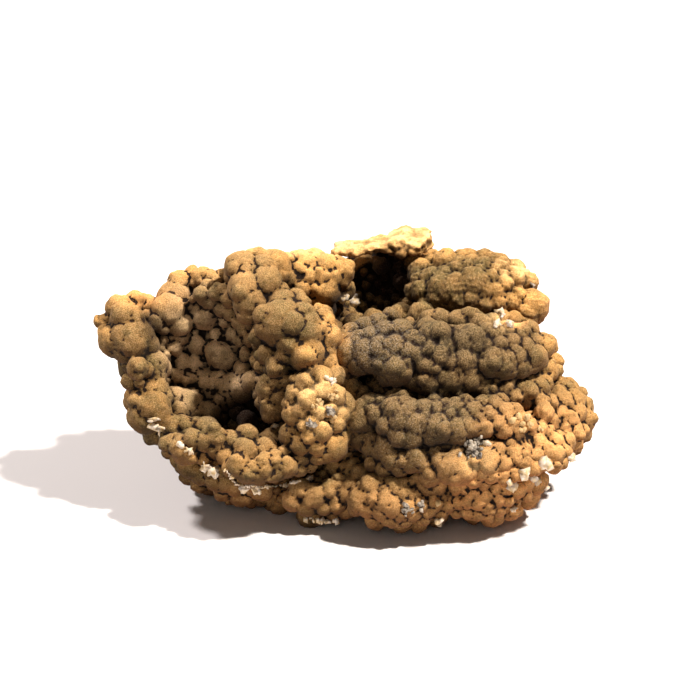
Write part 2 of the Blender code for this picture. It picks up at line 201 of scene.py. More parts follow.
BODY_LOBES = {
    "cavity": (
        (370, 306, 11), (382, 303, 10), (377, 297, 7), (390, 306, 8), (360, 312, 7), (400, 296, 6),
    ),
    "frosted ridge": (
        (352, 331, 9), (365, 326, 9), (378, 322, 9), (390, 318, 9), (402, 315, 11), (345, 340, 9),
        (358, 341, 10), (372, 337, 10), (386, 333, 11), (400, 331, 11), (350, 352, 12),
        (365, 352, 12), (380, 350, 12), (394, 347, 11), (346, 362, 8), (358, 365, 9),
        (372, 362, 9), (385, 362, 10), (412, 340, 9), (408, 353, 9),
    ),
    "brow": (
        (420, 312, 10), (430, 317, 8), (441, 318, 9), (458, 319, 9), (470, 318, 11), (480, 322, 9),
        (396, 371, 13), (388, 378, 8), (405, 366, 8), (348, 372, 10), (362, 370, 5), (437, 335, 13),
        (427, 327, 9), (449, 333, 8), (440, 356, 9), (446, 347, 8), (430, 350, 8), (468, 341, 14),
        (460, 336, 9), (478, 345, 9), (466, 361, 10), (470, 371, 7), (460, 370, 7), (415, 355, 8),
        (424, 366, 7), (420, 342, 8), (452, 362, 7), (433, 366, 7),
    ),
    "brow right": (
        (493, 361, 12), (503, 365, 12), (517, 356, 9), (521, 368, 9), (507, 380, 8), (495, 378, 7),
        (535, 358, 11), (545, 346, 9), (548, 370, 10), (555, 362, 7, -5), (556, 371, 7),
        (548, 343, 9), (527, 392, 11), (537, 390, 12), (530, 384, 8), (545, 383, 8),
        (495, 335, 10), (508, 331, 10), (520, 334, 10), (530, 331, 9), (540, 333, 8),
        (500, 346, 9), (512, 343, 9), (525, 347, 9), (488, 331, 8), (485, 346, 8), (548, 322, 7),
        (536, 342, 8), (503, 318, 8), (515, 320, 8), (526, 321, 7), (492, 320, 7),
    ),
    "ledge": (
        (415, 382, 9), (423, 377, 6), (430, 382, 12), (443, 379, 9), (453, 381, 12), (461, 377, 9),
        (469, 381, 12), (478, 384, 9), (485, 387, 8), (445, 389, 8), (460, 390, 7), (493, 390, 7),
        (505, 392, 8), (514, 396, 7), (500, 400, 7),
    ),
    "left slope": (
        (352, 391, 11), (362, 396, 9), (374, 388, 7), (383, 391, 8), (370, 403, 9), (380, 402, 7),
        (360, 410, 9), (392, 398, 7), (402, 397, 7), (375, 414, 8), (355, 425, 12), (364, 434, 16),
        (372, 445, 10), (352, 440, 9), (386, 425, 8), (360, 420, 10), (345, 455, 9),
    ),
    "middle": (
        (397, 411, 12), (408, 412, 12), (402, 420, 12), (415, 424, 11), (424, 410, 10),
        (422, 420, 9), (402, 436, 11), (412, 438, 11), (419, 430, 8), (388, 446, 13), (391, 456, 9),
        (380, 450, 8), (437, 410, 8), (446, 406, 7), (454, 409, 9), (434, 401, 6), (466, 402, 7),
        (474, 411, 9), (483, 404, 8), (494, 405, 9), (480, 418, 8), (505, 412, 9), (490, 416, 8),
        (515, 411, 7), (438, 428, 12), (446, 433, 9), (456, 430, 12), (466, 428, 10), (475, 427, 8),
        (484, 428, 8), (432, 437, 8), (498, 422, 8), (505, 430, 8), (450, 418, 8), (463, 417, 8),
    ),
    "lower middle": (
        (404, 460, 7), (416, 458, 10), (422, 465, 6), (410, 466, 6), (421, 446, 7), (398, 470, 6),
        (457, 449, 8), (448, 446, 7), (470, 445, 8), (451, 468, 12), (460, 471, 12), (455, 462, 10),
        (440, 462, 8), (436, 452, 7), (475, 462, 8), (488, 461, 11), (487, 450, 8), (498, 450, 8),
        (510, 443, 8), (522, 440, 8), (503, 463, 8), (515, 455, 9), (524, 452, 8), (537, 442, 9),
        (547, 450, 8), (536, 455, 7), (512, 424, 7), (522, 420, 7), (530, 427, 7), (540, 430, 8),
        (528, 433, 8), (517, 433, 8), (353, 470, 13), (347, 474, 9), (360, 473, 9), (372, 465, 7),
        (383, 470, 7), (336, 466, 8), (340, 480, 7), (430, 474, 7), (395, 480, 6),
    ),
    "nose": (
        (565, 387, 8), (572, 386, 8), (563, 400, 9), (575, 399, 9), (585, 406, 9), (587, 420, 9),
        (578, 412, 8), (570, 420, 8), (560, 413, 8), (551, 402, 7), (545, 412, 8), (552, 424, 9),
        (563, 431, 8), (575, 431, 8), (583, 432, 7), (567, 441, 8), (576, 444, 7), (555, 440, 8),
        (556, 455, 8), (566, 453, 7), (578, 452, 6), (541, 400, 7), (560, 392, 7), (548, 434, 7),
    ),
}
FOOT_LOBES = {
    "right foot": (
        (555, 466, 7), (562, 462, 6), (545, 476, 7), (535, 468, 7), (524, 464, 7), (545, 464, 6),
        (550, 486, 5), (538, 487, 7), (527, 484, 7), (515, 474, 7), (503, 475, 7), (492, 475, 7),
        (518, 491, 7), (506, 488, 7), (495, 487, 6), (484, 484, 6), (474, 481, 7), (483, 473, 6),
        (465, 487, 7), (456, 488, 7), (474, 493, 6), (486, 496, 6), (498, 500, 6), (508, 502, 5),
        (478, 504, 6), (489, 508, 6), (468, 502, 6), (458, 503, 6), (500, 511, 5), (478, 515, 6),
        (467, 513, 6), (488, 517, 5), (528, 496, 5),
    ),
    "foot": (
        (371, 486, 11), (364, 488, 8), (379, 483, 8), (393, 486, 9), (402, 485, 8), (386, 492, 8),
        (404, 495, 6), (413, 495, 7), (412, 484, 6), (426, 484, 11), (434, 487, 10), (430, 479, 8),
        (360, 500, 11), (367, 508, 8), (355, 508, 7), (374, 499, 9), (385, 502, 10), (393, 507, 9),
        (381, 513, 7), (407, 508, 8), (400, 515, 6), (420, 505, 7), (414, 514, 6), (435, 503, 7),
        (443, 497, 6), (429, 512, 6), (447, 506, 7), (457, 513, 6), (440, 515, 6), (392, 521, 6),
        (372, 521, 6), (405, 523, 5), (425, 520, 5), (382, 526, 5), (355, 519, 6), (448, 495, 6),
    ),
    "under the bowl": (
        (300, 489, 9), (315, 497, 10), (329, 490, 8), (336, 503, 8), (324, 508, 7), (306, 508, 8),
        (345, 495, 8), (345, 512, 7), (333, 517, 6), (318, 519, 6), (292, 501, 9), (340, 486, 7),
        (350, 485, 7),
    ),
}
SHOULDER_LOBES = {
    "shoulder": (
        (437, 246, 8), (450, 250, 7), (445, 262, 12), (430, 262, 8), (462, 258, 9), (459, 271, 11),
        (420, 270, 11), (413, 263, 7), (424, 262, 7), (412, 290, 7), (421, 290, 9), (407, 303, 5),
        (432, 277, 10), (441, 287, 13), (452, 289, 13), (463, 285, 11), (474, 283, 14),
        (484, 290, 9), (480, 254, 8), (492, 258, 6), (483, 266, 10), (472, 262, 8), (500, 270, 10),
        (490, 278, 8), (495, 291, 8), (505, 284, 8), (515, 276, 9), (507, 272, 6), (530, 281, 8),
        (524, 276, 7), (511, 302, 8), (520, 296, 8), (535, 306, 14), (528, 312, 8), (542, 320, 7),
        (485, 305, 7), (497, 303, 7), (470, 298, 8), (457, 300, 8), (436, 298, 8), (425, 303, 7),
        (446, 276, 9), (418, 280, 7), (465, 248, 6),
    ),
}
HEEL_LOBES = {
    "heel": (
        (168, 446, 8), (166, 455, 6), (185, 452, 12), (178, 461, 7), (190, 466, 12), (200, 476, 8),
        (186, 478, 6), (197, 486, 6), (212, 470, 8), (214, 482, 8), (226, 484, 8), (222, 494, 7),
        (240, 498, 9), (233, 488, 7), (250, 503, 7), (262, 492, 9), (252, 490, 6), (270, 504, 7),
        (275, 513, 7), (262, 510, 6), (283, 513, 6), (280, 495, 8), (230, 502, 6), (205, 458, 8),
        (176, 470, 6),
    ),
}

# Roof plates: middle in pixels, mm toward the viewer, sizes in mm, turn and roll in degrees.
PLATES = {
    "thick": (409, 240, -13, (10.2, 11.0, 3.6), 4, -3),
    "thin": (362, 247, -12, (14.5, 8.0, 2.0), -6, -8),
}

# Lobes on the plates' edges: x, y, radius in pixels and mm toward the viewer.
PLATE_LOBES = (
    (392, 251, 5, -10), (402, 253, 6, -9), (413, 251, 6, -9), (424, 247, 5, -11),
    (386, 249, 5, -10), (376, 250, 4, -10), (366, 251, 4, -10), (354, 252, 4, -10),
    (343, 253, 4, -10),
)


def view_to_frame(across, up, toward):
    """Places on the front view, in metres, as rows in the frame: the view's up and toward axes
    turned by its fall about X, then moved to the view's middle."""
    fall_sin = math.sin(VIEW_FALL)
    fall_cos = math.cos(VIEW_FALL)
    across, up, toward = np.broadcast_arrays(across, up, toward)
    places = np.stack(
        (across, up * fall_sin - toward * fall_cos, up * fall_cos + toward * fall_sin), axis=-1)
    return places + VIEW_MIDDLE_PLACE


def seen_at(x, y, toward):
    """Places on the lines of sight through pixels (x, y), toward metres before the middle."""
    x, y, toward = (np.asarray(value, float) for value in (x, y, toward))
    spread = PIXEL * (1 - toward / VIEW_DISTANCE)
    return view_to_frame((x - VIEW_MIDDLE[0]) * spread, (VIEW_MIDDLE[1] - y) * spread, toward)


def eye_place():
    """Where the front view is seen from."""
    return view_to_frame(0.0, 0.0, VIEW_DISTANCE)


def round_template(around, along):
    """A unit sphere: (cos a cos b, sin a cos b, sin b), a around and b from pole to pole."""
    rise = np.linspace(-math.pi / 2, math.pi / 2, along + 1)[1:-1]
    turn = np.arange(around) * 2 * math.pi / around
    rings = np.stack((
        np.cos(rise)[:, None] * np.cos(turn),
        np.cos(rise)[:, None] * np.sin(turn),
        np.repeat(np.sin(rise)[:, None], around, axis=1)), axis=-1).reshape(-1, 3)
    places = np.concatenate(([[0, 0, -1]], rings, [[0, 0, 1]]))
    step = np.arange(around)
    after = (step + 1) % around
    faces = [np.stack((step * 0, 1 + after, 1 + step), axis=1)]
    last = len(places) - 1
    for ring in range(along - 2):
        low = 1 + ring * around
        high = low + around
        faces.append(np.stack((low + step, low + after, high + after), axis=1))
        faces.append(np.stack((low + step, high + after, high + step), axis=1))
    top = 1 + (along - 2) * around
    faces.append(np.stack((top + step, top + after, np.full(around, last)), axis=1))
    return places, np.concatenate(faces)


def mesh_of(name, places, faces):
    """A mesh from arrays of vertex places and triangles."""
    mesh = bpy.data.meshes.new(name)
    mesh.vertices.add(len(places))
    mesh.vertices.foreach_set("co", np.asarray(places, np.float32).ravel())
    mesh.loops.add(faces.size)
    mesh.loops.foreach_set("vertex_index", faces.astype(np.int32).ravel())
    mesh.polygons.add(len(faces))
    mesh.polygons.foreach_set("loop_start", np.arange(0, faces.size, 3, dtype=np.int32))
    mesh.update(calc_edges=True)
    return mesh


def joined(parts):
    """One pair of arrays from several pairs of places and faces."""
    places = []
    faces = []
    start = 0
    for part_places, part_faces in parts:
        places.append(part_places)
        faces.append(part_faces + start)
        start += len(part_places)
    return np.concatenate(places), np.concatenate(faces)


def balls(centres, radii, template):
    """Each centre plus its radius times the unit sphere, as one pair of arrays."""
    unit, corners = template
    places = centres[:, None, :] + radii[:, None, None] * unit[None, :, :]
    faces = np.arange(len(centres))[:, None, None] * len(unit) + corners[None, :, :]
    return places.reshape(-1, 3), faces.reshape(-1, 3)


def ellipsoid(form, template, grown=0.0):
    """A unit sphere stretched by the form's half sizes, grown all round by a length, and leaning
    back with the view if the form says."""
    x, y, toward, half_sizes, leans = form
    unit, corners = template
    places = unit * (np.array(half_sizes) * MM + grown)
    fall = VIEW_FALL * leans
    low = places[:, 1] * math.cos(fall) + places[:, 2] * math.sin(fall)
    high = -places[:, 1] * math.sin(fall) + places[:, 2] * math.cos(fall)
    turned = np.stack((places[:, 0], low, high), axis=1)
    return turned + seen_at(x, y, toward * MM), corners


def apply_modifiers(made):
    """Bake an object's modifiers into its mesh."""
    graph = bpy.context.evaluated_depsgraph_get()
    mesh = bpy.data.meshes.new_from_object(made.evaluated_get(graph))
    made.modifiers.clear()
    made.data = mesh
    return mesh


def mesh_arrays(mesh):
    """Vertex places and edges of a mesh."""
    places = np.empty(len(mesh.vertices) * 3, np.float32)
    mesh.vertices.foreach_get("co", places)
    edges = np.empty(len(mesh.edges) * 2, np.int32)
    mesh.edges.foreach_get("vertices", edges)
    return places.reshape(-1, 3).astype(float), edges.reshape(-1, 2)


def vertex_normals(mesh):
    """Unit normals of a mesh's vertices."""
    normals = np.empty(len(mesh.vertices) * 3, np.float32)
    mesh.vertex_normals.foreach_get("vector", normals)
    return normals.reshape(-1, 3).astype(float)


def largest_shell(mesh):
    """Number of each vertex's connected part, found by passing the lowest number along edges, and
    the number of the part with the most vertices."""
    places, edges = mesh_arrays(mesh)
    label = np.arange(len(places))
    while True:
        low = np.minimum(label[edges[:, 0]], label[edges[:, 1]])
        fresh = label.copy()
        np.minimum.at(fresh, edges[:, 0], low)
        np.minimum.at(fresh, edges[:, 1], low)
        fresh = fresh[fresh]
        if np.array_equal(fresh, label):
            break
        label = fresh
    numbers, counts = np.unique(label, return_counts=True)
    return label, numbers[counts.argmax()]


def drop_small_shells(mesh):
    """The mesh with only its largest connected part, so that no bubble or crumb is left."""
    label, keep = largest_shell(mesh)
    inside = label == keep
    if inside.all():
        return mesh
    places, corners = triangles_of(mesh)
    corners = corners[inside[corners[:, 0]]]
    renumber = np.cumsum(inside) - 1
    return mesh_of(mesh.name, places[inside], renumber[corners])


def new_object(name, mesh):
    """An object that shows a mesh, in the scene's own collection."""
    made = bpy.data.objects.new(name, mesh)
    bpy.context.scene.collection.objects.link(made)
    return made


def fused(name, parts, grid, triangles=None, cutters=(), every_part=False):
    """Closed shapes fused into one skin on a fine grid, cut by the cutters, and thinned. Only the
    largest connected part is kept, unless every part is asked for."""
    made = new_object(name, mesh_of(name, *joined(parts)))
    fuse = made.modifiers.new("Fuse", "REMESH")
    fuse.mode = "VOXEL"
    fuse.voxel_size = grid
    mesh = apply_modifiers(made)
    if not every_part:
        mesh = drop_small_shells(mesh)
    made.data = mesh
    for index, cutter in enumerate(cutters):
        cut = made.modifiers.new("Cut %d" % index, "BOOLEAN")
        cut.operation = "DIFFERENCE"
        cut.object = cutter
    if triangles is not None:
        thin = made.modifiers.new("Thin", "DECIMATE")
        thin.ratio = min(1.0, triangles / len(mesh.polygons))
    apply_modifiers(made)
    return made


def surface_of(mesh):
    """A tree for casting lines of sight onto a mesh."""
    places, corners = triangles_of(mesh)
    return BVHTree.FromPolygons(places.tolist(), corners.tolist(), all_triangles=True)


def triangles_of(mesh):
    """A mesh as arrays of places and triangles."""
    places, _ = mesh_arrays(mesh)
    mesh.calc_loop_triangles()
    corners = np.empty(len(mesh.loop_triangles) * 3, np.int32)
    mesh.loop_triangles.foreach_get("vertices", corners)
    return places, corners.reshape(-1, 3)


def groove_shape(form, surface, template, grown):
    """A flat ellipsoid, turned in the front view, where a line of sight meets the big forms."""
    x, y, wide, high, deep, turn = form
    unit, corners = template
    eye = Vector(eye_place())
    aim = Vector(seen_at(x, y, 0))
    place, _, _, _ = surface.ray_cast(eye, (aim - eye).normalized())
    angle = math.radians(turn)
    across = unit[:, 0] * (wide * PIXEL + grown)
    up = unit[:, 2] * (high * PIXEL + grown)
    turned_across = across * math.cos(angle) - up * math.sin(angle)
    turned_up = across * math.sin(angle) + up * math.cos(angle)
    shift = view_to_frame(turned_across, turned_up, unit[:, 1] * (deep * MM + grown))
    return shift - VIEW_MIDDLE_PLACE + np.array(place), corners


def core_mesh(name, masses, grid, grown=0.0, hollows_grown=0.0, surface=None):
    """Big forms fused into one smooth body, less the hollows, and less the grooves where a
    surface to set them on is given, each grown by a length."""
    template = round_template(*FORM_SIDES)
    cuts = [ellipsoid(form, template, hollows_grown) for form in HOLLOWS.values()]
    if surface is not None:
        cuts += [groove_shape(form, surface, template, hollows_grown) for form in GROOVES]
    cutter = fused("hollows", cuts, grid * HOLLOW_GRID, every_part=True)
    bodies = [ellipsoid(form, template, grown) for form in masses.values()]
    made = fused(name, bodies, grid, cutters=(cutter,))
    mesh = made.data
    bpy.data.objects.remove(cutter)
    bpy.data.objects.remove(made)
    return mesh


def listed_lobes(groups, surface, sunk):
    """Centres and radii of listed lobes: on the big form that their line of sight meets, sunk by a
    part of their radius, or at the depth that they give."""
    eye = Vector(eye_place())
    centres = []
    radii = []
    for group in groups.values():
        for x, y, radius, *toward in group:
            size = radius * PIXEL
            if toward:
                centres.append(seen_at(x, y, toward[0] * MM))
            else:
                aim = Vector(seen_at(x, y, 0))
                place, normal, _, _ = surface.ray_cast(eye, (aim - eye).normalized())
                if place is None:
                    place, normal, _, _ = surface.find_nearest(aim)
                centres.append(np.array(place - normal * size * sunk))
            radii.append(size)
    return np.array(centres), np.array(radii)


def rooted(centres, radii, surface):
    """Each lobe with a smaller ball under it, inward from the surface nearest to it, so that it
    stands on the core however far the core draws back."""
    normals = np.array([surface.find_nearest(Vector(centre))[1] for centre in centres])
    deeper = centres - normals * radii[:, None] * ROOT_DEPTH
    return np.concatenate((centres, deeper)), np.concatenate((radii, radii * ROOT_RADIUS))


def spread_places(mesh, surface, gap, near, random):
    """Places and normals of a core's vertices that lie on the whole body's surface and outside its
    broken faces, no two within the gap. They stand in random order, one for each cell half a gap
    wide. In each round, each one that no earlier open one is near is kept, and it closes itself and
    those near it."""
    places, _ = mesh_arrays(mesh)
    order = random.permutation(len(places))
    places = places[order]
    normals = vertex_normals(mesh)[order]
    cells = np.floor(places / (gap / 2)).astype(int)
    _, chosen = np.unique(cells, axis=0, return_index=True)
    chosen.sort()
    places = places[chosen]
    normals = normals[chosen]
    squares = np.sum(places ** 2, axis=1)
    close = squares[:, None] + squares[None, :] - 2 * places @ places.T < gap ** 2
    still_open = np.ones(len(places), bool)
    kept = np.zeros(len(places), bool)
    while still_open.any():
        first = np.argmax(close & still_open[None, :], axis=1)
        fresh = still_open & (first == np.arange(len(places)))
        kept |= fresh
        still_open &= ~close[fresh].any(axis=0)
    kept &= zone_share(places, ZONES["broken"]) < BROKEN_SHARE
    places = places[kept]
    normals = normals[kept]
    apart = np.array([surface.find_nearest(Vector(place))[3] for place in places])
    return places[apart < near], normals[apart < near]


def distance_to_lobes(places, centres, radii):
    """How far each place lies outside the nearest lobe, less than nothing inside one."""
    if not len(centres):
        return np.full(len(places), 1.0)
    apart = np.linalg.norm(places[:, None, :] - centres[None, :, :], axis=2) - radii[None, :]
    return apart.min(axis=1)


def knobbed(centres, radii, random, parts, least, most):
    """Each lobe as a ball with broader and narrower balls round its middle, in directions spread
    evenly, turned and stretched at random, so that shallow creases divide it. The farther out they
    stand, the smaller they are, and the deeper the creases."""
    index = np.arange(parts)
    height = 1 - 2 * (index + 0.5) / parts
    level = np.sqrt(1 - height ** 2)
    turn = index * math.pi * (3 - math.sqrt(5))
    even = np.stack((level * np.cos(turn), level * np.sin(turn), height), axis=1)
    axes = np.linalg.qr(random.normal(size=(len(centres), 3, 3)))[0]
    stretch = random.uniform(*STRETCH, (len(centres), 3))
    directions = np.einsum("nij,nj,pj->npi", axes, stretch, even)
    directions += random.normal(scale=SCATTER, size=directions.shape)
    spread = random.uniform(least, most, (len(centres), 1))
    share = (REACH - spread) * random.uniform(*KNOB_CHANGE, (len(centres), parts))
    middles = centres[:, None, :] + directions * (radii[:, None] * spread)[..., None]
    small = radii[:, None] * share
    all_centres = np.concatenate((centres, middles.reshape(-1, 3)))
    all_radii = np.concatenate((radii * MIDDLE_BALL, small.ravel()))
    return all_centres, all_radii


def smoothed(values, edges, rounds):
    """Values averaged over each vertex's neighbours, a number of times."""
    count = np.bincount(edges.ravel(), minlength=len(values)).astype(float)
    count[count == 0] = 1
    result = values.copy()
    for _ in range(rounds):
        total = np.zeros_like(result)
        for axis in range(result.shape[1]):
            total[:, axis] = (
                np.bincount(edges[:, 0], result[edges[:, 1], axis], len(result))
                + np.bincount(edges[:, 1], result[edges[:, 0], axis], len(result)))
        result = 0.5 * result + 0.5 * total / count[:, None]
    return result


def store(mesh, name, values):
    """Keep one number for each vertex."""
    layer = mesh.attributes.new(name, "FLOAT", "POINT")
    layer.data.foreach_set("value", np.asarray(values, np.float32))


def relief(mesh, rounds):
    """How far each vertex lies below (positive) or above the smoothed surface, in mm."""
    places, edges = mesh_arrays(mesh)
    shift = smoothed(places, edges, rounds) - places
    return np.einsum("ij,ij->i", shift, vertex_normals(mesh)) / MM


class SpecimenSizes(bpy.types.PropertyGroup):
    """Sizes of the lobes and of the grids that fuse them."""

    core_grid: bpy.props.FloatProperty(
        name="Core grid", description="Grid that fuses the big forms",
        default=1.0 * MM, unit="LENGTH")
    skin_grid: bpy.props.FloatProperty(
        name="Skin grid", description="Grid that fuses the lobes",
        default=0.27 * MM, unit="LENGTH")
    inset: bpy.props.FloatProperty(
        name="Inset", description="How far the big forms draw back between the lobes",
        default=1.5 * MM, unit="LENGTH")
    hollow_step: bpy.props.FloatProperty(
        name="Hollow step", description="How much wider each further crust's hollows are",
        default=0.7 * MM, unit="LENGTH")
    swell: bpy.props.FloatProperty(
        name="Swell", description="How much wider the listed lobes grow", default=1.34)
    crease_rounds: bpy.props.IntProperty(
        name="Crease rounds", description="Smoothing that creases are measured against", default=5)
    valley_rounds: bpy.props.IntProperty(
        name="Valley rounds", description="Smoothing that valleys are measured against", default=80)
    sunk: bpy.props.FloatProperty(
        name="Sunk", description="How deep a lobe sits, as a part of its radius", default=0.3)
    knobs: bpy.props.IntProperty(
        name="Knobs", description="Balls round the middle of each lobe", default=12)
    knobs_near: bpy.props.FloatProperty(
        name="Knobs, near", description="Least distance, as a part of the radius", default=0.34)
    knobs_far: bpy.props.FloatProperty(
        name="Knobs, far", description="Greatest distance, as a part of the radius", default=0.58)
    fill_gap: bpy.props.FloatProperty(
        name="Filling, gap", description="Least gap between the small lobes in between",
        default=1.9 * MM, unit="LENGTH")
    fill_small: bpy.props.FloatProperty(
        name="Filling, small", description="Least radius", default=0.8 * MM, unit="LENGTH")
    fill_large: bpy.props.FloatProperty(
        name="Filling, large", description="Greatest radius", default=1.3 * MM, unit="LENGTH")
    round_gap: bpy.props.FloatProperty(
        name="All round, gap", description="Least gap between the lobes of the other sides",
        default=4.0 * MM, unit="LENGTH")
    round_small: bpy.props.FloatProperty(
        name="All round, small", description="Least radius", default=1.6 * MM, unit="LENGTH")
    round_large: bpy.props.FloatProperty(
        name="All round, large", description="Greatest radius", default=3.2 * MM, unit="LENGTH")
    round_away: bpy.props.FloatProperty(
        name="All round, away", description="Least distance from the lobes of the front",
        default=1.5 * MM, unit="LENGTH")
    near: bpy.props.FloatProperty(
        name="Near", description="How far from the whole body's surface a lobe may stand",
        default=0.8 * MM, unit="LENGTH")
    seed: bpy.props.IntProperty(
        name="Seed", description="Where the random draws start", default=11)


def sizes():
    """The sizes that the panel holds."""
    return bpy.context.scene.specimen_sizes


# Colour zones: soft ellipsoids as (x, y) on the front view, mm toward the viewer, half sizes in
# pixels across and up, half depth in mm, and the zone's share in the middle.
ZONES = {
    "gold": (
        (135, 298, -4, 28, 14, 12, 0.8), (190, 272, -8, 40, 14, 12, 0.9),
        (240, 256, -6, 40, 14, 12, 0.9), (310, 260, -7, 60, 22, 14, 1.0),
        (332, 340, 8, 14, 45, 12, 0.9), (308, 355, 14, 14, 14, 7, 1.0),
        (320, 410, 14, 26, 44, 12, 1.0), (522, 290, -8, 32, 32, 16, 0.9),
        (548, 350, -4, 16, 44, 16, 0.9), (575, 400, -3, 28, 38, 14, 0.35),
        (102, 330, -1, 10, 24, 12, 0.8), (230, 462, 12, 100, 14, 12, 0.35),
        (320, 300, -2, 22, 40, 12, 0.8), (250, 290, 4, 24, 34, 10, 0.5),
        (405, 242, -12, 80, 20, 14, 1.0), (145, 400, 8, 26, 24, 10, 0.25),
    ),
    "rust": (
        (505, 488, 8, 80, 40, 24, 1.1), (400, 508, 10, 80, 24, 18, 0.5),
        (568, 440, 4, 40, 30, 18, 0.4), (250, 500, 4, 90, 18, 20, 0.5),
        (535, 436, 10, 60, 34, 16, 0.9), (512, 320, 8, 12, 8, 6, 1.2),
        (150, 300, -2, 40, 14, 8, 0.5), (250, 455, 12, 60, 14, 8, 0.2),
        (555, 300, -6, 16, 14, 10, 0.8),
    ),
    "grey": (
        (372, 340, 12, 50, 40, 14, 1.0), (440, 345, 14, 90, 34, 14, 0.9),
        (420, 405, 16, 80, 44, 14, 0.8),
    ),
    # This zone lightens the bowl's inside: partly dust, partly painted light that stands in for
    # light reaching into the bowl.
    "dusty": (
        (205, 345, -6, 46, 56, 12, 1.1), (222, 392, 4, 40, 22, 10, 0.7),
        (250, 300, 2, 26, 40, 9, 0.4),
    ),
    "cream": (
        (409, 236, -13, 30, 14, 9, 1.0), (358, 243, -12, 38, 8, 8, 1.0),
        (320, 404, 16, 22, 26, 7, 0.7), (240, 250, -8, 30, 8, 8, 0.7),
        (300, 250, -8, 50, 8, 8, 0.6), (518, 272, -8, 22, 14, 8, 0.7),
        (334, 380, 12, 10, 10, 6, 0.8), (503, 320, 8, 14, 12, 6, 0.5),
        (478, 462, 20, 14, 12, 6, 0.5),
    ),
    # The dark zone is painted shadow: deep hollows and crevices darkened to the crease colour.
    "dark": (
        (390, 277, -16, 24, 27, 12, 1.2), (341, 308, -4, 13, 16, 9, 1.2),
        (256, 416, 2, 44, 22, 8, 1.0), (152, 330, 0, 14, 18, 8, 0.9),
        (310, 284, -8, 26, 12, 4, 0.5),
    ),
    # A pale frost whose fine white specks are painted glints of tiny crystal faces.
    "frost": (
        (374, 340, 14, 36, 32, 12, 0.12), (430, 440, 16, 50, 30, 10, 0.08),
        (240, 385, 0, 30, 20, 10, 0.1),
    ),
    "broken": ((340, 384, -35, 110, 36, 10, 1.0), (350, 478, -16, 110, 26, 14, 0.9)),
}

# Chips and crystals: spots as (x, y, spread, how many, size in pixels, flatness) and paths as
# (pixels, step, spread, size, flatness), with two colours, a roughness and a shape.
CHIPS = {
    "lip_flakes": (
        (
            (152, 424, 3, 3, 7, 0.25), (160, 430, 3, 3, 7, 0.25), (180, 445, 3, 4, 7, 0.25),
            (189, 451, 3, 3, 7, 0.25), (206, 467, 3, 4, 8, 0.25), (214, 473, 4, 5, 8, 0.25),
            (246, 489, 4, 5, 7, 0.25), (257, 490, 4, 5, 7, 0.25), (281, 521, 4, 5, 7, 0.35),
            (296, 523, 4, 5, 7, 0.35), (308, 478, 2, 5, 5, 0.5),
        ),
        (
            (((226, 470), (237, 484), (260, 487), (285, 485), (302, 480)), 2.5, 0.8, 3.5, 0.4),
            (((306, 519), (318, 521), (335, 520), (350, 521)), 4.0, 1.5, 5, 0.4),
        ), "cream", "chip", 0.6, "angular"),
    "white_chips": (
        (
            (343, 295, 2, 5, 7, 0.8), (354, 302, 3, 6, 7, 0.9), (487, 443, 2, 4, 5, 0.8),
            (546, 462, 4, 6, 8, 0.8), (525, 475, 3, 5, 7, 0.8), (535, 481, 3, 5, 6, 0.8),
            (513, 486, 4, 6, 7, 0.9), (513, 509, 2, 3, 5, 0.8), (550, 487, 3, 4, 5, 0.8),
            (572, 460, 4, 5, 6, 0.5), (385, 531, 4, 4, 5, 0.6), (440, 521, 4, 4, 5, 0.6),
            (457, 519, 3, 3, 5, 0.6), (354, 526, 3, 3, 5, 0.6), (332, 380, 4, 6, 5, 0.6),
            (501, 314, 3, 5, 5, 0.5), (497, 323, 3, 5, 5, 0.5), (510, 323, 3, 5, 5, 0.5),
            (454, 246, 2, 2, 4, 0.5), (275, 425, 2, 3, 4, 0.6),
        ), (), "cream", "chip", 0.45, "angular"),
    "yellow_crystals": (
        (
            (512, 421, 2, 3, 6, 1.0), (519, 417, 2, 3, 6, 1.0), (527, 418, 2, 3, 6, 1.0),
            (522, 424, 2, 3, 6, 1.0), (530, 425, 2, 3, 6, 1.0), (523, 430, 2, 3, 6, 1.0),
            (540, 430, 3, 3, 5, 1.0), (438, 503, 3, 4, 5, 1.0), (318, 404, 6, 9, 5, 1.0),
            (330, 420, 6, 7, 5, 1.0), (332, 396, 5, 6, 5, 1.0),
        ), (), "cream", "roof", 0.5, "round"),
    "quartz_patch": (
        (
            (474, 449, 9, 70, 3.6, 0.6), (330, 411, 4, 22, 3.4, 0.6), (312, 424, 4, 14, 3.4, 0.6),
            (407, 510, 6, 20, 3.4, 0.6), (421, 505, 4, 8, 3.4, 0.6), (532, 284, 3, 6, 3.4, 0.6),
        ), (), "dark", "silver", 0.35, "angular"),
}

# A lobe: the radius of its middle ball and the reach of its knobs, as parts of its own radius, how
# far chance stretches it, scatters its knobs and changes their size, and how deep its root goes
# and how wide it is.
MIDDLE_BALL = 0.8
REACH = 1.03
STRETCH = (0.75, 1.3)
SCATTER = 0.18
KNOB_CHANGE = (0.88, 1.05)
ROOT_DEPTH = 0.9
ROOT_RADIUS = 0.75

# How many sides the balls, the big forms, the slabs and the crystals have, round and from pole to
# pole.
BALL_SIDES = (12, 8)
FORM_SIDES = (48, 32)
SLAB_SIDES = (220, 90)
CRYSTAL_SIDES = (6, 5)

# How deep a small lobe's middle may lie in a larger one, as a part of its own radius, and the
# hollows' grid as a part of the big forms' grid. As the big forms draw back by the inset, the
# hollows grow by the last number's part of it.
FILL_OVERLAP = 0.3
HOLLOW_GRID = 0.6
HOLLOW_GROWTH = 0.5

# Where a colour zone's share runs out, as a distance from its middle, and the share of the broken
# zone above which no lobe grows.
ZONE_EDGE = 1.5
BROKEN_SHARE = 0.5

# A plate: the powers that square off its unit sphere, how much of the ripples moves it each way,
# and how many triangles both plates are thinned to.
SLAB_POWERS = (0.75, 0.75, 0.5)
SLAB_ROUGH = (1.6, 1.6, 0.6)
PLATE_TRIANGLES = 60000

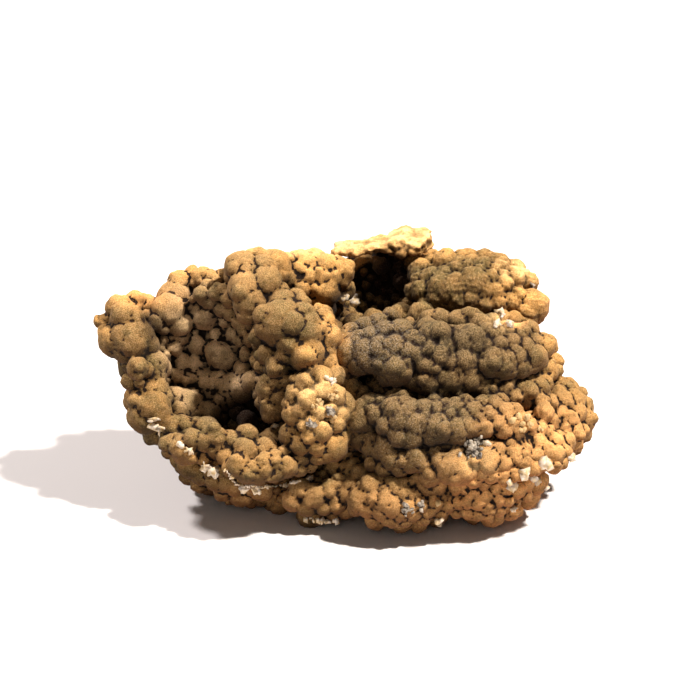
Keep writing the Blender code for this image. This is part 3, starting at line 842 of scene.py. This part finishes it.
# A chip: the scatter round its spot as a part of the spot's radius, how far chance changes its
# size, moves its corners and narrows it, how far out it stands, and its colour clouds in a metre.
CHIP_SCATTER = 0.5
CHIP_CHANGE = (0.7, 1.3)
CHIP_JITTER = 0.17
CHIP_NARROW = (0.6, 1.0)
CHIP_LIFT = 0.1
CHIP_CLOUDS = 900.0

# How many waves a ripple is the sum of, and how far chance changes their lengths.
WAVES = 24
WAVE_CHANGE = (0.7, 1.4)

# Lengths and heights, in mm, of the ripples on every lobe and of the ridges on a broken face.
RIPPLES = ((3.2, 0.1), (1.1, 0.06))
JAGGED = ((7.0, 0.7), (2.4, 0.35))
SLAB_RIPPLES = ((5.0, 0.45), (1.8, 0.22), (0.8, 0.12))

# How many clouds, mottles, grains and specks of colour lie in a metre.
CLOUDS = 90.0
MOTTLES = 330.0
GRAINS = 4600.0
SPECKS = 4200.0

# Where the lights aim.
MIDDLE = (0.0, 0.0, 0.025)

# The floor's two colours, and how many of its clouds lie in a metre.
FLOOR_DARK = (238 / 255, 234 / 255, 232 / 255)
FLOOR_LIGHT = (242 / 255, 238 / 255, 236 / 255)
FLOOR_CLOUDS = 3.0

# The lights: name, place in metres, size, power and colour.
LIGHTS = (
    ("key", (0.66, -0.14, 1.10), 0.07, 31.0, (255, 248, 240)),
    ("second", (-0.75, 0.42, 1.00), 0.12, 15.5, (255, 248, 246)),
    ("front", (-0.2, -1.2, 0.8), 0.5, 1.0, (255, 246, 238)),
)

# The crusts: their big forms, their lobes and how many triangles each is thinned to.
PIECES = {
    "crust_bowl": (BOWL_MASSES, (BOWL_LOBES, HEEL_LOBES), 190000),
    "crust_body": (BODY_MASSES, (BODY_LOBES,), 190000),
    "crust_shoulder": (SHOULDER_MASSES, (SHOULDER_LOBES,), 110000),
    "crust_foot": (FOOT_MASSES, (FOOT_LOBES,), 150000),
    "crust_back": (BACK_MASSES, (), 150000),
}


def gathered(pairs):
    """Several pairs of centres and radii as one pair, empty where there are none."""
    pairs = [(np.zeros((0, 3)), np.zeros(0)), *pairs]
    return np.concatenate([c for c, _ in pairs]), np.concatenate([r for _, r in pairs])


def grow_crusts():
    """Lobes of every crust, their roots, and the cores that they grow on. Each further core's
    hollows are a little wider than the last one's, so that no two skins lie in one surface."""
    setting = sizes()
    random = np.random.default_rng(setting.seed)
    whole = {}
    for masses, _, _ in PIECES.values():
        whole.update(masses)
    full = core_mesh("whole", whole, setting.core_grid)
    surface = surface_of(full)
    sunk_surface = surface_of(core_mesh(
        "sunk", whole, setting.core_grid, -setting.inset, setting.inset * HOLLOW_GROWTH, surface))
    cores = {}
    lobes = {}
    fillings = {}
    for order, (name, (masses, groups, _)) in enumerate(PIECES.items()):
        cores[name] = core_mesh(
            name, masses, setting.core_grid, -setting.inset,
            setting.inset * HOLLOW_GROWTH + order * setting.hollow_step, surface)
        centres, radii = gathered(
            listed_lobes(group, surface, setting.sunk) for group in groups)
        lobes[name] = (centres, radii * setting.swell)
    surfaces = {name: surface_of(core) for name, core in cores.items()}

    places, normals = spread_places(full, surface, setting.round_gap, setting.near, random)
    away = distance_to_lobes(places, *gathered(lobes.values())) > setting.round_away
    places, normals = places[away], normals[away]
    found = random.uniform(setting.round_small, setting.round_large, len(places))
    centres = places - normals * found[:, None] * setting.sunk
    owner = np.array([
        list(PIECES).index(min(surfaces, key=lambda name: surfaces[name].find_nearest(
            Vector(place))[3])) for place in places])
    for index, name in enumerate(PIECES):
        mine = owner == index
        lobes[name] = gathered((lobes[name], (centres[mine], found[mine])))
    all_lobes = gathered(lobes.values())

    roots = {}
    for index, name in enumerate(PIECES):
        roots[name] = rooted(*lobes[name], surface)
        places, _ = spread_places(
            cores[name], sunk_surface, setting.fill_gap,
            setting.near + index * setting.hollow_step, random)
        found = random.uniform(setting.fill_small, setting.fill_large, len(places))
        free = distance_to_lobes(places, *all_lobes) > -FILL_OVERLAP * found
        fillings[name] = (places[free], found[free])
    return cores, lobes, roots, fillings, random


def build_crust(name, core, lobes, roots, filling, random):
    """One crust: its core, its lobes' roots, its knobbed lobes and the small lobes between them
    fused into one skin, moved in and out by ripples, jagged where it is broken and flat where it
    stands, with its relief and its colour zones kept at each vertex."""
    setting = sizes()
    knobs = knobbed(*lobes, random, setting.knobs, setting.knobs_near, setting.knobs_far)
    template = round_template(*BALL_SIDES)
    made = fused(
        name, [triangles_of(core), balls(*roots, template), balls(*knobs, template),
               balls(*filling, template)],
        setting.skin_grid, PIECES[name][2])
    mesh = made.data
    places, _ = mesh_arrays(mesh)
    swell = sum(height * ripples(places, random, length * MM) for length, height in RIPPLES)
    broken = np.minimum(zone_share(places, ZONES["broken"]), 1.0)
    for length, height in JAGGED:
        swell += broken * height * np.abs(ripples(places, random, length * MM))
    places += vertex_normals(mesh) * swell[:, None] * MM
    places[:, 2] = np.maximum(places[:, 2], 0.0)
    mesh.vertices.foreach_set("co", places.astype(np.float32).ravel())
    mesh.update()
    keep_marks(mesh)
    return made


def keep_marks(mesh):
    """Store a skin's small and large relief, how far it faces down, from 0 to 1, and its colour
    zones, and shade it smooth."""
    setting = sizes()
    places, _ = mesh_arrays(mesh)
    store(mesh, "crease", relief(mesh, setting.crease_rounds))
    store(mesh, "valley", relief(mesh, setting.valley_rounds))
    store(mesh, "under", 0.5 - 0.5 * vertex_normals(mesh)[:, 2])
    for zone, patches in ZONES.items():
        store(mesh, zone, zone_share(places, patches))
    mesh.shade_smooth()


def zone_share(places, patches):
    """How far each place lies in soft ellipsoids, each given by its middle on the front view, mm
    toward the viewer, half sizes in pixels across and up and in mm deep, and its share: the
    greatest of the share times (the zone's edge - distance), which is kept from 0 to 1. The
    distance is 0 in the middle and 1 at the ellipsoid."""
    fall_sin = math.sin(VIEW_FALL)
    fall_cos = math.cos(VIEW_FALL)
    found = np.zeros(len(places))
    for x, y, toward, wide, high, deep, share in patches:
        shift = places - seen_at(x, y, toward * MM)
        up = shift[:, 1] * fall_sin + shift[:, 2] * fall_cos
        out = -shift[:, 1] * fall_cos + shift[:, 2] * fall_sin
        apart = np.sqrt(
            (shift[:, 0] / (wide * PIXEL)) ** 2 + (up / (high * PIXEL)) ** 2
            + (out / (deep * MM)) ** 2)
        found = np.maximum(found, share * np.clip(ZONE_EDGE - apart, 0, 1))
    return found


def linear(colour):
    """A colour given as it looks on a screen, 0 to 1, as the shader reads it."""
    value = np.array(colour)
    curved = ((value + 0.055) / 1.055) ** 2.4
    return tuple(np.where(value <= 0.04045, value / 12.92, curved)) + (1.0,)


def add_node(tree, kind, inputs=None, **settings):
    """A node with its settings, its inputs linked to sockets or set to values."""
    made = tree.nodes.new(kind)
    for name, value in settings.items():
        setattr(made, name, value)
    for name, value in (inputs or {}).items():
        if isinstance(value, bpy.types.NodeSocket):
            tree.links.new(value, made.inputs[name])
        else:
            made.inputs[name].default_value = value
    return made


def blended(tree, share, first, second, kind="MIX"):
    """Two colours mixed by a share."""
    mix = add_node(tree, "ShaderNodeMix", {0: share, 6: first, 7: second},
                   data_type="RGBA", blend_type=kind, clamp_factor=True)
    return mix.outputs[2]


def ranged(tree, value, low, high, to_low=0.0, to_high=1.0):
    """A value taken from one range to another, and kept inside it."""
    return add_node(tree, "ShaderNodeMapRange", {
        "Value": value, "From Min": low, "From Max": high, "To Min": to_low,
        "To Max": to_high}, clamp=True, interpolation_type="SMOOTHSTEP").outputs["Result"]


def times(tree, first, second):
    """Product of two values."""
    return add_node(tree, "ShaderNodeMath", {0: first, 1: second}, operation="MULTIPLY").outputs[0]


def plus(tree, first, second):
    """Sum of two values."""
    return add_node(tree, "ShaderNodeMath", {0: first, 1: second}, operation="ADD").outputs[0]


def noise(tree, place, scale, detail=3.0, roughness=0.55):
    """Cloudy noise, scale times a metre, from 0 to 1."""
    return add_node(tree, "ShaderNodeTexNoise", {
        "Vector": place, "Scale": scale, "Detail": detail, "Roughness": roughness},
        noise_dimensions="3D").outputs["Fac"]


def attribute(tree, name):
    """A number kept at each vertex."""
    return add_node(tree, "ShaderNodeAttribute", attribute_name=name).outputs["Fac"]


def new_material(name, roughness):
    """A material, its node tree, its shader and the object's own coordinates."""
    material = bpy.data.materials.new(name)
    material.use_nodes = True
    tree = material.node_tree
    shader = tree.nodes["Principled BSDF"]
    shader.inputs["Roughness"].default_value = roughness
    place = add_node(tree, "ShaderNodeTexCoord").outputs["Object"]
    return material, tree, shader, place


def crust_material(colours):
    """Velvety crust: olive to brown clouds, golden and rusty zones, broken cream zones, painted
    shade in its creases and dark hollows, down-facing parts painted darker, a painted highlight on
    crests that face up, the bowl's inside lightened as dust and painted light, and a pale frost
    whose fine white specks are painted glints, shaded by a fine grain and by painted shade in the
    valleys."""
    material, tree, shader, place = new_material(VELVET, 0.8)
    cloud = noise(tree, place, CLOUDS)
    mottle = noise(tree, place, MOTTLES, 4.0, 0.6)
    grain = noise(tree, place, GRAINS, 3.0, 0.75)
    specks = noise(tree, place, SPECKS, 2.0, 0.6)
    crease = attribute(tree, "crease")

    clouds = plus(tree, times(tree, cloud, 0.5), times(tree, mottle, 0.5))
    clouds = ranged(tree, clouds, 0.38, 0.62)
    colour = blended(tree, clouds, linear(colours.olive), linear(colours.brown))
    colour = blended(tree, times(tree, attribute(tree, "grey"), 0.85), colour, linear(colours.grey))
    # Dust and painted light: the bowl's inside lightened towards a pale colour.
    dusty = times(tree, attribute(tree, "dusty"), ranged(tree, mottle, 0.35, 0.65, 0.5, 1.1))
    colour = blended(tree, dusty, colour, linear(colours.dusty))
    gold = times(tree, attribute(tree, "gold"), ranged(tree, mottle, 0.3, 0.6, 0.35, 1.1))
    colour = blended(tree, gold, colour, linear(colours.gold))
    rust = times(tree, attribute(tree, "rust"), ranged(tree, mottle, 0.4, 0.7, 1.1, 0.4))
    colour = blended(tree, rust, colour, linear(colours.rust))
    # Painted shade: down-facing parts darkened and warmed by the rust colour.
    under = ranged(tree, attribute(tree, "under"), 0.35, 0.85)
    colour = blended(tree, times(tree, under, 0.5), colour, linear(colours.rust), "MULTIPLY")
    # Painted highlight: convex crests that face up lightened towards the tops colour.
    painted_top_highlight = times(tree, ranged(tree, crease, 0.0, -0.04, 0.0, 0.3), ranged(tree, under, 0.8, 0.0))
    colour = blended(tree, times(tree, painted_top_highlight, ranged(tree, grain, 0.42, 0.6)), colour,
                     linear(colours.top))
    # Painted shade: concave creases and the dark zones' hollows darkened towards the crease colour.
    painted_shade_in_hollows = plus(tree, ranged(tree, crease, 0.02, 0.075), attribute(tree, "dark"))
    colour = blended(tree, painted_shade_in_hollows, colour, linear(colours.crease))
    cream = plus(tree, attribute(tree, "cream"), attribute(tree, "broken"))
    cream = times(tree, cream, ranged(tree, mottle, 0.4, 0.58, 0.25, 1.2))
    colour = blended(tree, cream, colour, linear(colours.roof))
    # A pale frost with fine white specks as painted glints.
    frost = plus(tree, attribute(tree, "frost"), 0.04)
    frost = times(tree, frost, ranged(tree, specks, 0.52, 0.64))
    colour = blended(tree, frost, colour, linear(colours.frost))
    grain_and_painted_shade = ranged(tree, grain, 0.3, 0.7, 0.5, 1.6)
    # Painted shade: darker in the broad valleys, lighter on faces that look up and darker on those
    # that look down.
    grain_and_painted_shade = times(tree, grain_and_painted_shade, ranged(tree, attribute(tree, "valley"), -0.4, 0.7, 1.1, 0.35))
    grain_and_painted_shade = times(tree, grain_and_painted_shade, ranged(tree, attribute(tree, "under"), 0.02, 0.62, 1.5, 0.5))
    grey = add_node(tree, "ShaderNodeCombineColor", {"Red": grain_and_painted_shade, "Green": grain_and_painted_shade, "Blue": grain_and_painted_shade})
    colour = blended(tree, 1.0, colour, grey.outputs["Color"], "MULTIPLY")
    tree.links.new(colour, shader.inputs["Base Color"])
    shader.inputs["Specular IOR Level"].default_value = 0.12
    shader.inputs["Sheen Weight"].default_value = 0.06
    shader.inputs["Sheen Roughness"].default_value = 0.4
    shader.inputs["Sheen Tint"].default_value = linear(colours.frost)
    bump = add_node(tree, "ShaderNodeBump", {
        "Height": grain, "Strength": 0.9, "Distance": 0.25 * MM})
    tree.links.new(bump.outputs["Normal"], shader.inputs["Normal"])
    return material


def stone_material(name, dark, light, scale, roughness=0.7):
    """Broken stone in one colour family: clouds from dark to light over a rough grain."""
    material, tree, shader, place = new_material(name, roughness)
    cloud = noise(tree, place, scale, 5.0, 0.65)
    grain = noise(tree, place, scale * 6, 3.0, 0.7)
    colour = blended(tree, ranged(tree, cloud, 0.35, 0.65), linear(dark), linear(light))
    tree.links.new(colour, shader.inputs["Base Color"])
    bump = add_node(tree, "ShaderNodeBump", {
        "Height": grain, "Strength": 0.6, "Distance": 0.3 * MM})
    tree.links.new(bump.outputs["Normal"], shader.inputs["Normal"])
    return material


def placed(made, material, replaces=False):
    """A finished piece: its material, its body and, for a crust, the solid that it stands for
    hidden.
    """
    made.data.materials.append(material)
    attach(made, "root")
    if replaces:
        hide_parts(NODE)
    return made


def ripples(places, random, length):
    """Smooth irregular heights, about -1 to 1: a sum of sine waves of about one length, in random
    directions and phases."""
    aims = random.normal(size=(WAVES, 3))
    aims *= random.uniform(*WAVE_CHANGE, (WAVES, 1)) * 2 * math.pi / length / np.linalg.norm(
        aims, axis=1)[:, None]
    phases = random.uniform(0, 2 * math.pi, WAVES)
    return np.sin(places @ aims.T + phases).sum(axis=1) / math.sqrt(WAVES)


def turned(places, turn, roll):
    """Places turned about Z, after a roll about Y, both in radians."""
    across = places[:, 0] * math.cos(roll) + places[:, 2] * math.sin(roll)
    up = -places[:, 0] * math.sin(roll) + places[:, 2] * math.cos(roll)
    return np.stack((
        across * math.cos(turn) - places[:, 1] * math.sin(turn),
        across * math.sin(turn) + places[:, 1] * math.cos(turn), up), axis=1)


def slab(form, random):
    """A rough slab: the unit sphere's three coordinates raised to a power that squares it off,
    times half the slab's sizes, its edge and its faces moved in and out by ripples."""
    x, y, toward, full_sizes, turn, roll = form
    unit, corners = round_template(*SLAB_SIDES)
    boxy = np.sign(unit) * np.abs(unit) ** np.array(SLAB_POWERS)
    places = boxy * np.array(full_sizes) * MM / 2
    outward = boxy / np.linalg.norm(boxy, axis=1)[:, None]
    rough = sum(height * ripples(places, random, length * MM) for length, height in SLAB_RIPPLES)
    places = places + outward * np.array(SLAB_ROUGH) * rough[:, None] * MM
    return turned(places, math.radians(turn), math.radians(roll)) + seen_at(
        x, y, toward * MM), corners


def chip_template():
    """A cube's corners, half a unit out, and its twelve triangles facing out."""
    step = np.arange(8)
    unit = np.stack((step & 1, (step >> 1) & 1, (step >> 2) & 1), axis=1) - 0.5
    faces = np.array((
        (0, 2, 3), (0, 3, 1), (4, 5, 7), (4, 7, 6), (0, 1, 5), (0, 5, 4),
        (2, 6, 7), (2, 7, 3), (0, 4, 6), (0, 6, 2), (1, 3, 7), (1, 7, 5)))
    return unit, faces


def skins_hit(skins, x, y):
    """The nearest place on any crust along the line of sight through a pixel, and its normal."""
    eye = Vector(eye_place())
    aim = (Vector(seen_at(x, y, 0)) - eye).normalized()
    hits = [skin.ray_cast(eye, aim) for skin in skins]
    hits = [hit for hit in hits if hit[0] is not None]
    if not hits:
        return None
    place, normal, _, _ = min(hits, key=lambda hit: hit[3])
    return np.array(place), np.array(normal)


def chips(skins, spots, random, template):
    """Fragments stuck to the crusts, as one pair of arrays: for each spot (x, y, radius, count,
    size, flatness) so many fragments round the pixel, each the template with its corners jittered,
    stretched and turned at random. Its middle stands a little outside the crust, and at least its
    own size above the floor."""
    unit, corners = template
    parts = []
    for x, y, radius, count, size, flat in spots:
        for _ in range(count):
            shift = random.normal(scale=radius * CHIP_SCATTER, size=2)
            found = skins_hit(skins, x + shift[0], y + shift[1])
            if found is None:
                continue
            place, normal = found
            wide = size * PIXEL * random.uniform(*CHIP_CHANGE)
            place[2] = max(place[2], wide)
            shape = unit + random.uniform(-CHIP_JITTER, CHIP_JITTER, unit.shape)
            shape = shape * wide * np.array((1.0, random.uniform(*CHIP_NARROW), flat))
            axes = np.linalg.qr(random.normal(size=(3, 3)))[0]
            axes *= np.sign(np.linalg.det(axes))
            parts.append((shape @ axes.T + place + normal * wide * CHIP_LIFT, corners))
    return joined(parts)


def along(path, step):
    """Pixels at even steps along a path."""
    points = np.array(path, float)
    lengths = np.concatenate(([0], np.cumsum(np.linalg.norm(np.diff(points, axis=0), axis=1))))
    at = np.arange(0, lengths[-1], step)
    return np.stack([np.interp(at, lengths, points[:, axis]) for axis in (0, 1)], axis=1)


def crust_skins():
    """Trees for casting lines of sight onto the finished crusts."""
    graph = bpy.context.evaluated_depsgraph_get()
    return [BVHTree.FromObject(bpy.data.objects[name], graph) for name in PIECES]


def screen(red, green, blue):
    """A colour as it looks on a screen, 0 to 255, as parts of one."""
    return red / 255, green / 255, blue / 255


def tint(name, description, red, green, blue):
    """A colour that a user may change, given as it looks on a screen, 0 to 255."""
    return bpy.props.FloatVectorProperty(
        name=name, description=description, subtype="COLOR_GAMMA", min=0.0, max=1.0,
        default=screen(red, green, blue))


class SpecimenColours(bpy.types.PropertyGroup):
    """Colours of the crust, the plates, the chips and the crystals."""

    olive: tint("Olive", "The greener parts of the crust", 86, 70, 38)
    brown: tint("Brown", "The browner parts of the crust", 116, 86, 48)
    grey: tint("Grey", "The dark ledges", 48, 39, 26)
    gold: tint("Gold", "Golden rims and ridges", 182, 134, 74)
    rust: tint("Rust", "Rusty lower parts", 206, 149, 90)
    # Colour of the painted shade in creases and deep hollows.
    crease: tint("Crease", "Creases between the lobes, and deep hollows", 34, 19, 8)
    # Colour of the painted highlight on crests that face up.
    top: tint("Tops", "Worn tops of the lobes", 164, 134, 90)
    roof: tint("Roof", "Cream plates, crystals and broken faces", 208, 171, 116)
    chip: tint("Chips", "Lightest parts of the white chips", 236, 222, 206)
    cream: tint("Cream", "Darker parts of the white chips", 214, 182, 126)
    dark: tint("Dark crystals", "Dark broken crystals", 66, 55, 46)
    silver: tint("Silver crystals", "Light broken crystals", 204, 190, 170)
    # Pale colour of the bowl's inside: partly dust, partly painted light.
    dusty: tint("Dusty", "Dust inside the bowl", 192, 162, 124)
    # Pale frost colour; its specks are painted glints.
    frost: tint("Frost", "Fine white specks", 226, 214, 196)


class CrustOperator(bpy.types.Operator):
    """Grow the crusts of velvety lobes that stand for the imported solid"""

    bl_idname = "mottramite.crusts"
    bl_label = "Crusts"

    def execute(self, context):
        cores, lobes, roots, fillings, random = grow_crusts()
        material = crust_material(context.scene.specimen_colours)
        for name in PIECES:
            made = build_crust(
                name, cores[name], lobes[name], roots[name], fillings[name], random)
            placed(made, material, replaces=True)
            self.report({"INFO"}, "%s: %d faces" % (name, len(made.data.polygons)))
        return {"FINISHED"}


class PlatesOperator(bpy.types.Operator):
    """Lay the rough roof plates over the cavity, with the lobes that hang on their edges"""

    bl_idname = "mottramite.plates"
    bl_label = "Roof plates"

    def execute(self, context):
        setting = sizes()
        random = np.random.default_rng(setting.seed + 1)
        centres = np.array([seen_at(x, y, toward * MM) for x, y, _, toward in PLATE_LOBES])
        radii = np.array([radius * PIXEL for _, _, radius, _ in PLATE_LOBES])
        knobs = knobbed(
            centres, radii, random, setting.knobs, setting.knobs_near, setting.knobs_far)
        shapes = [slab(form, random) for form in PLATES.values()]
        shapes.append(balls(*knobs, round_template(*BALL_SIDES)))
        made = fused(
            "roof_plates", shapes, setting.skin_grid, PLATE_TRIANGLES, every_part=True)
        keep_marks(made.data)
        placed(made, bpy.data.materials[VELVET])
        return {"FINISHED"}


class ChipsOperator(bpy.types.Operator):
    """Stick the pale flakes, white chips, yellow crystals and broken crystal patches on"""

    bl_idname = "mottramite.chips"
    bl_label = "Flakes, chips and crystals"

    def execute(self, context):
        colours = context.scene.specimen_colours
        skins = crust_skins()
        random = np.random.default_rng(sizes().seed + 2)
        for name, (spots, paths, dark, light, rough, shape) in CHIPS.items():
            template = chip_template() if shape == "angular" else round_template(*CRYSTAL_SIDES)
            if shape != "angular":
                template = (template[0] * 0.5, template[1])
            listed = list(spots)
            for path, step, radius, size, flat in paths:
                listed += [(x, y, radius, 1, size, flat) for x, y in along(path, step)]
            made = new_object(name, mesh_of(name, *chips(skins, listed, random, template)))
            placed(made, stone_material(
                name, getattr(colours, dark), getattr(colours, light), CHIP_CLOUDS, rough))
        return {"FINISHED"}


class StageOperator(bpy.types.Operator):
    """Lay the pale floor, hang the lights and set the camera"""

    bl_idname = "mottramite.stage"
    bl_label = "Stage"

    def execute(self, context):
        scene = context.scene
        setting = scene.specimen_stage
        half = setting.floor_half
        low = -setting.floor_gap
        floor = new_object("floor", bpy.data.meshes.new("floor"))
        floor.data.from_pydata(
            [(-half, -half, low), (half, -half, low), (half, half, low), (-half, half, low)], [],
            [(0, 1, 2, 3)])
        floor.data.materials.append(
            stone_material("floor", FLOOR_DARK, FLOOR_LIGHT, FLOOR_CLOUDS, 0.9))
        for name, where, size, power, colour in LIGHTS:
            lamp = bpy.data.lights.new(name, "AREA")
            lamp.size = size
            lamp.energy = power
            lamp.color = linear(screen(*colour))[:3]
            hung = bpy.data.objects.new(name, lamp)
            scene.collection.objects.link(hung)
            hung.location = where
            aim = Vector(MIDDLE) - Vector(where)
            hung.rotation_euler = aim.to_track_quat("-Z", "Y").to_euler()
        world = bpy.data.worlds.new("studio")
        world.use_nodes = True
        scene.world = world
        sky = world.node_tree.nodes["Background"]
        sky.inputs["Color"].default_value = linear(setting.sky)
        sky.inputs["Strength"].default_value = setting.sky_strength
        lens = bpy.data.cameras.new("camera")
        lens.sensor_width = 36.0
        lens.lens = lens.sensor_width * VIEW_DISTANCE / (PICTURE_SIDE * PIXEL)
        lens.clip_start = 0.01
        camera = bpy.data.objects.new("camera", lens)
        scene.collection.objects.link(camera)
        camera.location = eye_place()
        camera.rotation_euler = (math.pi / 2 - VIEW_FALL, 0, 0)
        scene.camera = camera
        scene.view_settings.view_transform = "Standard"
        return {"FINISHED"}


class StageSettings(bpy.types.PropertyGroup):
    """The floor, the light from all round and its colour."""

    floor_half: bpy.props.FloatProperty(
        name="Floor, half side", description="Half the side of the square floor", default=3.0,
        unit="LENGTH")
    floor_gap: bpy.props.FloatProperty(
        name="Floor, gap", description="How far the floor lies below the specimen",
        default=0.05 * MM, unit="LENGTH")
    sky: tint("Sky", "Colour of the light from all round", 255, 244, 236)
    sky_strength: bpy.props.FloatProperty(
        name="Sky strength", description="Strength of the light from all round", default=0.12)


class SpecimenPanel(bpy.types.Panel):
    """Buttons for each group of pieces and for the stage"""

    bl_idname = "VIEW3D_PT_mottramite"
    bl_label = "Mottramite"
    bl_space_type = "VIEW_3D"
    bl_region_type = "UI"
    bl_category = "Mottramite"

    def draw(self, context):
        for operator in OPERATORS:
            self.layout.operator(operator.bl_idname)


OPERATORS = (CrustOperator, PlatesOperator, ChipsOperator, StageOperator)
GROUPS = {
    "specimen_sizes": SpecimenSizes,
    "specimen_colours": SpecimenColours,
    "specimen_stage": StageSettings,
}


def register():
    """Add the property groups, the operators and the panel."""
    for made in (*GROUPS.values(), *OPERATORS, SpecimenPanel):
        bpy.utils.register_class(made)
    for name, group in GROUPS.items():
        setattr(bpy.types.Scene, name, bpy.props.PointerProperty(type=group))


def unregister():
    """Take them away again, last first."""
    for name in GROUPS:
        delattr(bpy.types.Scene, name)
    for made in (SpecimenPanel, *reversed(OPERATORS), *reversed(GROUPS.values())):
        bpy.utils.unregister_class(made)


def main():
    """Build every piece in order."""
    register()
    bpy.ops.mottramite.crusts()
    bpy.ops.mottramite.plates()
    bpy.ops.mottramite.chips()
    bpy.ops.mottramite.stage()


if __name__ == "__main__":
    main()
